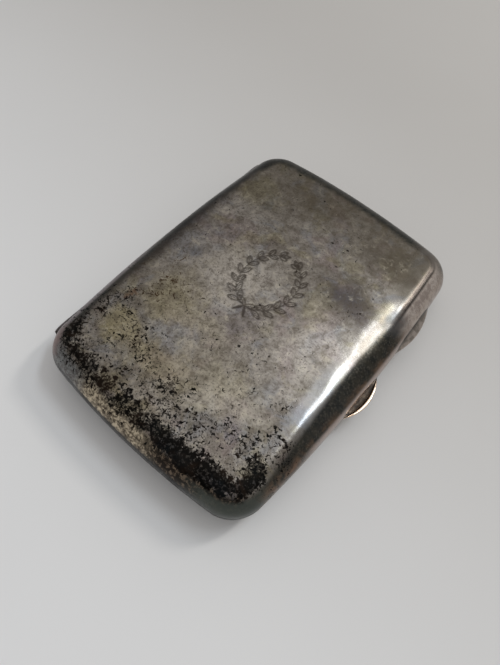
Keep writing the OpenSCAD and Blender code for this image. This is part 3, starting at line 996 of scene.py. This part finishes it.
def lay_edge(f):
    """Painted shade on the rounded edge all round, mottled like tarnish, for the dim room that the edge
    reflects; left off at the near end's middle and on a light wall beside the lid's thumb piece.
    """
    catch = f.times(f.ramp(f.x, 16.0, 22.0), f.ramp(f.y, -38.0, -33.0))
    wider = f.plus(f.times(f.ramp(f.y, 27.0, 35.0), 2.3), f.times(f.ramp(f.x, -20.0, -26.0), 0.9))
    edge = f.ramp(f.plus(f.inset, f.edge_noise), f.plus(3.9, wider), f.plus(1.6, wider))
    middle = f.times(f.ramp(f.y, -30.0, -35.0), f.ramp(f.x, 8.0, 0.0), f.ramp(f.x, -22.0, -15.0))
    edge = f.times(edge, f.less(1.0, f.times(middle, 0.8)), f.less(1.0, catch))
    light_wall = f.times(catch, f.ramp(f.ragged_y, 12.0, 20.0), f.ramp(f.y, 38.0, 32.0), 1.0 if f.lid else 0.25)
    flank = f.ramp(f.plus(f.past, f.times(f.edge_noise, 0.2)), -0.5, 0.7)
    flank = f.times(flank, f.less(1.0, f.times(light_wall, 0.90)), catch)
    dark = f.mix(f.ramp(f.mottle, 0.38, 0.62), (30, 34, 33), (56, 54, 48))
    dark = f.mix(f.times(f.ramp(f.grain, 0.50, 0.64), 0.55), dark, (92, 88, 80))
    dark = f.mix(f.times(f.ramp(f.x, -22.0, -27.0), f.ramp(f.y, -12.0, 4.0), 0.75), dark, (20, 18, 18))
    # Painted shade: the rounded edge and, on the catch side, the flank past the window's highlight are
    # darkened
    f.paint(dark, 0.92, f.plus(edge, flank))
    # Painted reflection: the light wall beside the lid's thumb piece is painted pale for the floor it
    # reflects
    f.paint((196, 184, 175), 0.85, light_wall, f.ramp(f.inset, 5.2, 3.6))
    # Painted shade in the dent beside the catch shoulder
    f.paint((64, 66, 68), 0.75, f.spot(26.0, 15.5, 3.4, 5.0, 0.7, (f.ragged_x, f.y)))
    f.paint((124, 108, 100), 0.55, light_wall, f.ramp(f.inset, 5.2, 3.6), f.ramp(f.mottle, 0.46, 0.60))
    # Painted shade: a thin dark line in the crease at the top of the light wall
    f.paint((20, 18, 18), 0.94, f.ramp(f.inset, 3.1, 3.7), f.ramp(f.inset, 5.0, 4.4), light_wall)
    return light_wall


def lay_walls(f, light_wall, near):
    """The walls below the rounded edge. The plain part of the near end's wall is handed back."""
    # Beside the near half of the hinge the low wall is paler
    pale = f.times(f.ramp(f.x, -20.0, -25.0), f.ramp(f.ragged_y, -2.0, -16.0))
    f.paint((124, 115, 116), 0.85, pale, f.ramp(f.inset, 3.1, 2.3))

    # Low on the wall: brown patches, and a pale strip beside the rim, a painted reflection of the floor
    off_light_wall = f.less(1.0, light_wall)
    brown = f.times(f.ramp(f.inset, 2.4, 0.4), f.ramp(f.noise(0.30, 13, 4.0, 0.62, 0.5), 0.40, 0.66))
    f.paint((124, 100, 82), 0.80, brown, off_light_wall, f.less(1.0, pale))
    # Painted reflection of the floor on the low wall
    f.paint((190, 175, 168), 0.80, f.ramp(f.inset, 1.00, 0.30), f.ramp(f.y, -24.0, -14.0), off_light_wall)

    # Near end: cream and speckled, greyish and then pinkish at the hinge, dark at the catch
    fleck = f.noise(1.3, 15, 3.0, 0.62, 0.3)
    wall = f.mix(f.ramp(fleck, 0.38, 0.62), (204, 189, 164), (84, 75, 62))
    wall = f.mix(f.times(f.ramp(f.mottle, 0.48, 0.62), 0.7), wall, (92, 82, 70))
    greyish = f.mix(f.ramp(fleck, 0.36, 0.66), (128, 129, 128), (84, 81, 80))
    wall = f.mix(f.ramp(f.ragged_x, -12.0, -17.0), wall, greyish)
    wall = f.mix(f.ramp(f.ragged_x, -22.5, -26.0), wall, (132, 112, 108))
    brownish = f.mix(f.ramp(fleck, 0.34, 0.52), (116, 101, 86), (36, 30, 26))
    wall = f.mix(f.ramp(f.ragged_x, 2.0, 9.0), wall, brownish)
    # On the base the near end's wall is painted near black: painted shade under the lid's rim
    f.paint(wall if f.lid else (30, 27, 24), 0.90, near, f.ramp(f.inset, 3.8, 2.2))
    # Painted shade: a black line along the near end's rim, for the shadowed gap at the seam
    f.paint((14, 13, 12), 0.94, near, f.ramp(f.inset, 0.45, 0.20))
    plain = f.spot(26.5, -38.0, 14.0, 10.0, 0.6, (f.ragged_x, f.y))
    plain = f.times(plain, f.ramp(f.inset, 2.6, 1.6))
    f.paint((76, 80, 75), 0.90, plain)
    return plain


def lay_specks(f, plain):
    """Black band along the shoulder of the near end, and specks scattered over the top."""
    across = f.plus(f.inset, f.sway(f.noise(0.20, 17, 4.0, 0.65), 5.5))
    near_end = f.ramp(f.y, -26.0, -33.0)
    wide = f.ramp(f.x, -1.0, 9.0)
    left = f.ramp(f.x, -14.0, -20.0)
    outer = f.plus(7.2, f.times(wide, 1.0), f.times(left, -0.8))
    inner = f.plus(2.0, f.times(left, 1.3))
    core = f.times(f.ramp(across, inner, f.plus(inner, 1.4)), f.ramp(across, outer, 4.6), near_end)
    halo = f.times(f.ramp(across, 1.2, 3.4), f.ramp(across, 13.0, 5.0), near_end)
    breaks = f.ramp(f.noise(0.28, 19, 3.0, 0.6, 0.5), 0.30, 0.60)
    solid = f.plus(0.02, f.times(breaks, 0.08), f.times(wide, 0.12), f.times(left, 0.08))

    # How dense the specks lie, then two sizes of them with gaps between
    dense = f.plus(f.times(core, solid), f.times(halo, 0.12))
    dense = f.plus(dense, f.times(f.ramp(f.y, 4.0, -34.0), 0.05), f.times(f.shoulder, -0.06))
    for x, y, radius_x, radius_y, closer in SPECK_FIELDS:
        dense = f.plus(dense, f.times(f.spot(x, y, radius_x, radius_y, 1.0, f.warped), closer))
    dense = f.plus(dense, f.sway(f.noise(0.16, 29, 4.0, 0.65, 0.5), 0.36))
    worms = f.ramp(f.plus(f.noise(1.25, 23, 2.6, 0.58, 0.7), dense), 0.665, 0.725)
    pepper = f.ramp(f.plus(f.noise(2.2, 27, 2.0, 0.6, 0.4), dense), 0.70, 0.77)
    gaps = f.ramp(f.noise(1.7, 33, 2.0, 0.6), 0.54, 0.62)
    specks = f.times(f.math("MAXIMUM", worms, f.times(pepper, 0.80)), f.less(1.0, f.times(plain, 0.9)))
    specks = f.times(specks, f.less(1.0, f.times(gaps, f.less(0.45, f.times(wide, 0.30)))))

    soot = f.mix(f.ramp(f.noise(0.24, 45, 3.0, 0.6, 0.6), 0.46, 0.70), (11, 10, 9), (36, 27, 21))
    soot = f.mix(f.times(wide, near_end, f.ramp(f.patches, 0.46, 0.60), 0.5), soot, (19, 25, 28))
    rusty = f.spot(-19.0, -7.0, 12.0, 12.0, 0.7, f.warped)
    f.paint(f.mix(f.times(rusty, 0.85), soot, (76, 57, 40)), 0.98, specks)
    return specks


def silver_finish(name, lid):
    f = Silver(name, lid)
    near = f.ramp(f.y, -31.0, -37.0)
    lay_films(f)
    light_wall = lay_edge(f)
    plain = lay_walls(f, light_wall, near)
    specks = lay_specks(f, plain)
    f.paint((52, 45, 39), 0.80, f.attribute("engraved"))

    # Coppery wear on the very edge of the rim, and below it the dark line of the seam, painted shade in
    # the gap between the halves
    rim = f.less(f.z, LID_RIM) if lid else f.less(BASE_RIM, f.z)
    wear = f.times(f.ramp(rim, 0.46, 0.30), f.ramp(rim, 0.08, 0.16), f.ramp(f.patches, 0.36, 0.50))
    f.paint((186, 154, 124), 0.8, wear, f.less(1.0, near))
    seam = f.plus(0.12, f.times(near, 0.30))
    f.paint((20, 17, 15), 0.92, f.ramp(rim, f.plus(seam, 0.05), f.less(seam, 0.05)))

    dull = f.plus(f.ramp(f.patches, 0.3, 0.7, 0.04, 0.18), f.times(f.ramp(f.grain, 0.4, 0.7), 0.07))
    roughness = f.plus(0.20, f.times(dull, f.rough), f.times(specks, 0.25))
    height = f.less(f.times(f.less(f.grain, 0.5), 0.25, f.rough), specks)
    scratches = f.bump(f.noise(0.6, 31, 6.0, 0.8, 0.0, (0.4, 7.0, 1.0)), 0.003)
    return f.done(roughness, Metallic=1.0, Normal=f.bump(height, 0.010, below=scratches))


def gilt_finish():
    """Gilt wash inside: satin, with fine wiping marks and dull brown patches."""
    f = Finish("gilt_wash")
    clouds = f.noise(0.07, 41, 4.0, 0.6, 0.6)
    patches = f.noise(0.22, 43, 4.0, 0.6, 0.6)
    f.colour = f.mix(f.ramp(clouds, 0.35, 0.65), (214, 178, 116), (226, 196, 142))
    f.paint((150, 112, 70), 0.6, f.ramp(patches, 0.55, 0.72))
    specks = f.ramp(f.noise(1.1, 47, 3.0, 0.6, 0.8), 0.70, 0.76)
    f.paint((84, 62, 42), 0.7, specks)
    wiping = f.noise(0.5, 53, 5.0, 0.75, 0.0, (6.0, 0.35, 1.0))
    roughness = f.plus(f.ramp(patches, 0.3, 0.7, 0.26, 0.38), f.times(wiping, 0.08))
    normal = f.bump(wiping, 0.010)
    return f.done(roughness, Metallic=1.0, Normal=normal)


def hinge_finish():
    """Silver of the hinge, black in the joints, with painted shade on the side that faces the case."""
    f = Finish("hinge_silver")
    patches = f.noise(0.35, 61, 4.0, 0.6, 0.5)
    grain = f.noise(1.6, 67, 3.0, 0.6)
    f.colour = f.mix(f.ramp(patches, 0.38, 0.62), (112, 105, 106), (84, 78, 76))
    f.paint((36, 31, 27), 0.7, f.ramp(grain, 0.56, 0.70))
    from_middle = f.plus(f.y, HINGE_HALF + KNUCKLE_PITCH / 2)
    place_in_pitch = f.math("FRACT", f.math("DIVIDE", from_middle, KNUCKLE_PITCH))
    joint = f.math("ABSOLUTE", f.less(place_in_pitch, 0.5))
    f.paint((22, 19, 17), 0.85, f.ramp(joint, 0.045, 0.0))
    # Painted shade on the side of the hinge that faces the case
    inside = f.ramp(f.x, HINGE_X - 0.35, HINGE_X + 0.1)
    f.paint((26, 24, 22), 0.8, inside)
    roughness = f.ramp(patches, 0.35, 0.65, 0.28, 0.42)
    normal = f.bump(grain, 0.012)
    return f.done(roughness, Metallic=1.0, Normal=normal)


def thumb_finish(name, coppery):
    """Thumb piece: its edge rubbed smooth and painted brighter as its highlight, with painted shade at
    its root by the wall.
    """
    f = Finish(name)
    reach = f.attribute("reach")
    level = f.attribute("level")
    patches = f.noise(0.5, 71, 4.0, 0.6, 0.5)
    grain = f.noise(1.8, 73, 3.0, 0.6)
    if coppery:
        f.colour = f.mix(f.ramp(patches, 0.4, 0.6), (70, 60, 51), (44, 39, 35))
        # Painted shade where the thumb piece meets the wall
        f.paint((34, 30, 27), 0.9, f.ramp(level, 0.55, 0.85))
        # Rubbed edge, painted brighter as its highlight
        worn_lit_edge = f.times(f.ramp(reach, 0.62, 0.72), f.ramp(level, 0.62, 0.38))
        f.paint((240, 216, 192), 0.95, worn_lit_edge)
    else:
        f.colour = f.mix(f.ramp(patches, 0.4, 0.6), (166, 155, 147), (128, 120, 112))
        # Rubbed edge, painted brighter as its highlight
        worn_lit_edge = f.ramp(reach, 0.80, 0.96)
        f.paint((184, 171, 158), 0.6, worn_lit_edge)
        # Painted shade where the thumb piece meets the wall
        f.paint((46, 43, 40), 0.8, f.ramp(level, 0.5, 0.95))
    f.paint((34, 29, 25), 0.6, f.ramp(grain, 0.60, 0.72))
    roughness = f.ramp(patches, 0.35, 0.65, 0.24, 0.36)
    normal = f.bump(grain, 0.010)
    return f.done(roughness, Metallic=1.0, Normal=normal)


def wire_finish():
    f = Finish("drawn_wire")
    lines = f.noise(0.8, 79, 4.0, 0.7, 0.0, (8.0, 0.4, 8.0))
    f.colour = f.mix(lines, (150, 146, 138), (110, 106, 98))
    return f.done(f.ramp(lines, 0.3, 0.7, 0.25, 0.4), Metallic=1.0)


def elastic_finish(name, light):
    """Woven elastic: covered rubber cords along it and fine threads across."""
    f = Finish(name)
    across = f.math("SINE", f.times(f.x, 2 * math.pi / 0.55))
    cord = f.math("SINE", f.times(f.y, 2 * math.pi * RIBS / BAND_WIDTH))
    weave = f.times(across, cord)
    fuzz = f.noise(2.5, 83, 4.0, 0.7)
    fade = f.noise(0.08, 89, 3.0, 0.6)
    dark, pale = ((74, 66, 60), (112, 101, 90)) if light else ((38, 34, 33), (66, 59, 55))
    f.colour = f.mix(f.ramp(weave, -0.6, 0.9), dark, pale)
    f.paint((92, 78, 64), 0.4, f.ramp(fade, 0.4, 0.7))
    f.paint(dark, 0.25, f.ramp(fuzz, 0.4, 0.7))
    normal = f.bump(f.plus(f.times(weave, 0.5), f.times(fuzz, 0.4)), 0.06)
    return f.done(0.85, Sheen_Weight=0.25, Sheen_Roughness=0.5, Normal=normal)


# Stage: floor, world, lamps and camera
def make_stage():
    """Plain pale floor, with painted shade that makes it a little darker towards the far end of the case.
    """
    bpy.ops.mesh.primitive_plane_add(size=4.0, location=(0, 0, -0.00002))
    floor = bpy.context.object
    floor.name = "floor"
    f = Finish("pale_paper")
    fibre = f.noise(0.02, 97, 3.0, 0.5)
    near = f.mix(fibre, (226, 225, 225), (230, 229, 229))
    far = f.mix(fibre, (179, 175, 171), (183, 179, 175))
    away = f.ramp(f.plus(f.y, f.times(f.x, 0.16)), -110.0, 110.0)
    f.colour = f.mix(away, near, far)
    f.done(0.9, Specular_IOR_Level=0.2)
    floor.data.materials.append(f.material)


# Middle of the bright part of the ceiling, and the two ends of the window, as directions
CEILING_TOWARDS = Vector((-0.10, 0.25, 0.96)).normalized()
WINDOW_FAR_END = Vector((0.10, 0.535, 0.83))
WINDOW_NEAR_END = Vector((0.335, 0.28, 0.89))
# A narrow pane beside it, which the shoulder shows as a thin bright streak in its far half
PANE_FAR_END = Vector((0.30, 0.71, 0.64))
PANE_NEAR_END = Vector((0.31, 0.585, 0.75))
LAMP_DISTANCE = 0.6


def make_world():
    """Soft room light: brightest round one part of the ceiling and dim towards the horizon."""
    world = bpy.data.worlds.new("room")
    bpy.context.scene.world = world
    world.use_nodes = True
    world.node_tree.nodes.clear()
    room = Nodes(world.node_tree)
    towards = {0: room.node("TexCoord", {}, "Generated"), 1: CEILING_TOWARDS}
    light = room.node("ValToRGB", {0: room.node("VectorMath", towards, "Value", operation="DOT_PRODUCT")})
    ramp = light.node.color_ramp
    ramp.interpolation = "B_SPLINE"
    stops = [(0.0, 0.52), (0.45, 0.48), (0.80, 0.48), (0.90, 0.58), (0.96, 1.05), (1.0, 1.75)]
    while len(ramp.elements) < len(stops):
        ramp.elements.new(0.5)
    for element, (position, level) in zip(ramp.elements, stops):
        element.position = position
        element.color = (level, level * 0.998, level * 0.995, 1)
    output = world.node_tree.nodes.new("ShaderNodeOutputWorld")
    room.feed(output.inputs[0], room.node("Background", {0: light}))


def make_strip_lamp(name, first, last, width, power, colour):
    """Long area lamp that faces the case, between two directions seen from it."""
    start, end = first.normalized() * LAMP_DISTANCE, last.normalized() * LAMP_DISTANCE
    data = bpy.data.lights.new(name, "AREA")
    data.shape = "RECTANGLE"
    data.size = (end - start).length
    data.size_y = width
    data.energy = power
    data.color = colour
    lamp = bpy.data.objects.new(name, data)
    bpy.context.scene.collection.objects.link(lamp)
    lamp.location = (start + end) / 2
    back = lamp.location.normalized()
    along = (end - start).normalized()
    side = back.cross(along).normalized()
    along = side.cross(back)
    lamp.rotation_euler = Matrix((along, side, back)).transposed().to_euler()


# The photograph's point of view, found by fitting the outline of the case
CAMERA_PLACE = (34.63, -50.42, 111.26)
CAMERA_TURN = (27.772, -2.714, 41.009)
CAMERA_LENS = 28.15


def make_camera():
    data = bpy.data.cameras.new("camera")
    data.lens = CAMERA_LENS
    data.sensor_width = 36.0
    data.clip_start = 0.005
    camera = bpy.data.objects.new("camera", data)
    camera.location = Vector(CAMERA_PLACE) * MM
    camera.rotation_euler = [math.radians(angle) for angle in CAMERA_TURN]
    bpy.context.scene.collection.objects.link(camera)
    bpy.context.scene.camera = camera


bpy.context.scene.view_settings.view_transform = "Standard"
make_camera()
make_stage()
make_world()
make_strip_lamp("window", WINDOW_FAR_END, WINDOW_NEAR_END, 0.075, power=0.72, colour=(0.82, 0.92, 1.0))
make_strip_lamp("pane", PANE_FAR_END, PANE_NEAR_END, 0.055, power=0.80, colour=(1.0, 0.97, 0.91))

silver_lid = silver_finish("silver_of_lid", True)
silver_base = silver_finish("silver_of_base", False)
gilt = gilt_finish()
hinge_silver = hinge_finish()
elastic = elastic_finish("elastic_braid", False)
thread = elastic_finish("sewing_thread", True)

# The lid's columns and rows lie close together round the ornament
fine = [graded(reach, middle - half_size, middle + half_size, FINE_STEP, COARSE_STEP)
        for reach, middle, half_size in zip((SHORT_REACH, LONG_REACH), WREATH_CENTRE, FINE_HALF_SIZE)]
even = [graded(reach, 0, 0, EVEN_STEP, EVEN_STEP) for reach in (SHORT_REACH, LONG_REACH)]
make_cover("lid_cover", "lid", LID_SECTION, fine, silver_lid, gilt, True)
make_cover("base_cover", "base", BASE_SECTION, even, silver_base, gilt, False)
make_rim("base_rim_wire", "base", BASE_RIM_INNER, gilt)
make_rim("lid_rim_wire", "lid", LID_RIM_INNER, gilt)
make_hinge_bar("base", 0, hinge_silver)
make_hinge_bar("lid", 1, hinge_silver)
for i in range(KNUCKLES):
    make_knuckle(i, hinge_silver)
for end in ("near", "far"):
    make_plug(end, hinge_silver)
make_thumb_piece("lid", LID_SECTION, thumb_finish("lid_thumb_silver", False))
make_thumb_piece("base", BASE_SECTION, thumb_finish("base_thumb_silver", True))
make_bezel(gilt)
make_pips(gilt)
for half in ("base", "lid"):
    for side in ("hinge", "catch"):
        make_staple(half, side, gilt)
    make_band(half, elastic)
    make_stitches(half, thread)

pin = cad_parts["hinge_pin"]
pin.data.materials.clear()
pin.data.materials.append(wire_finish())
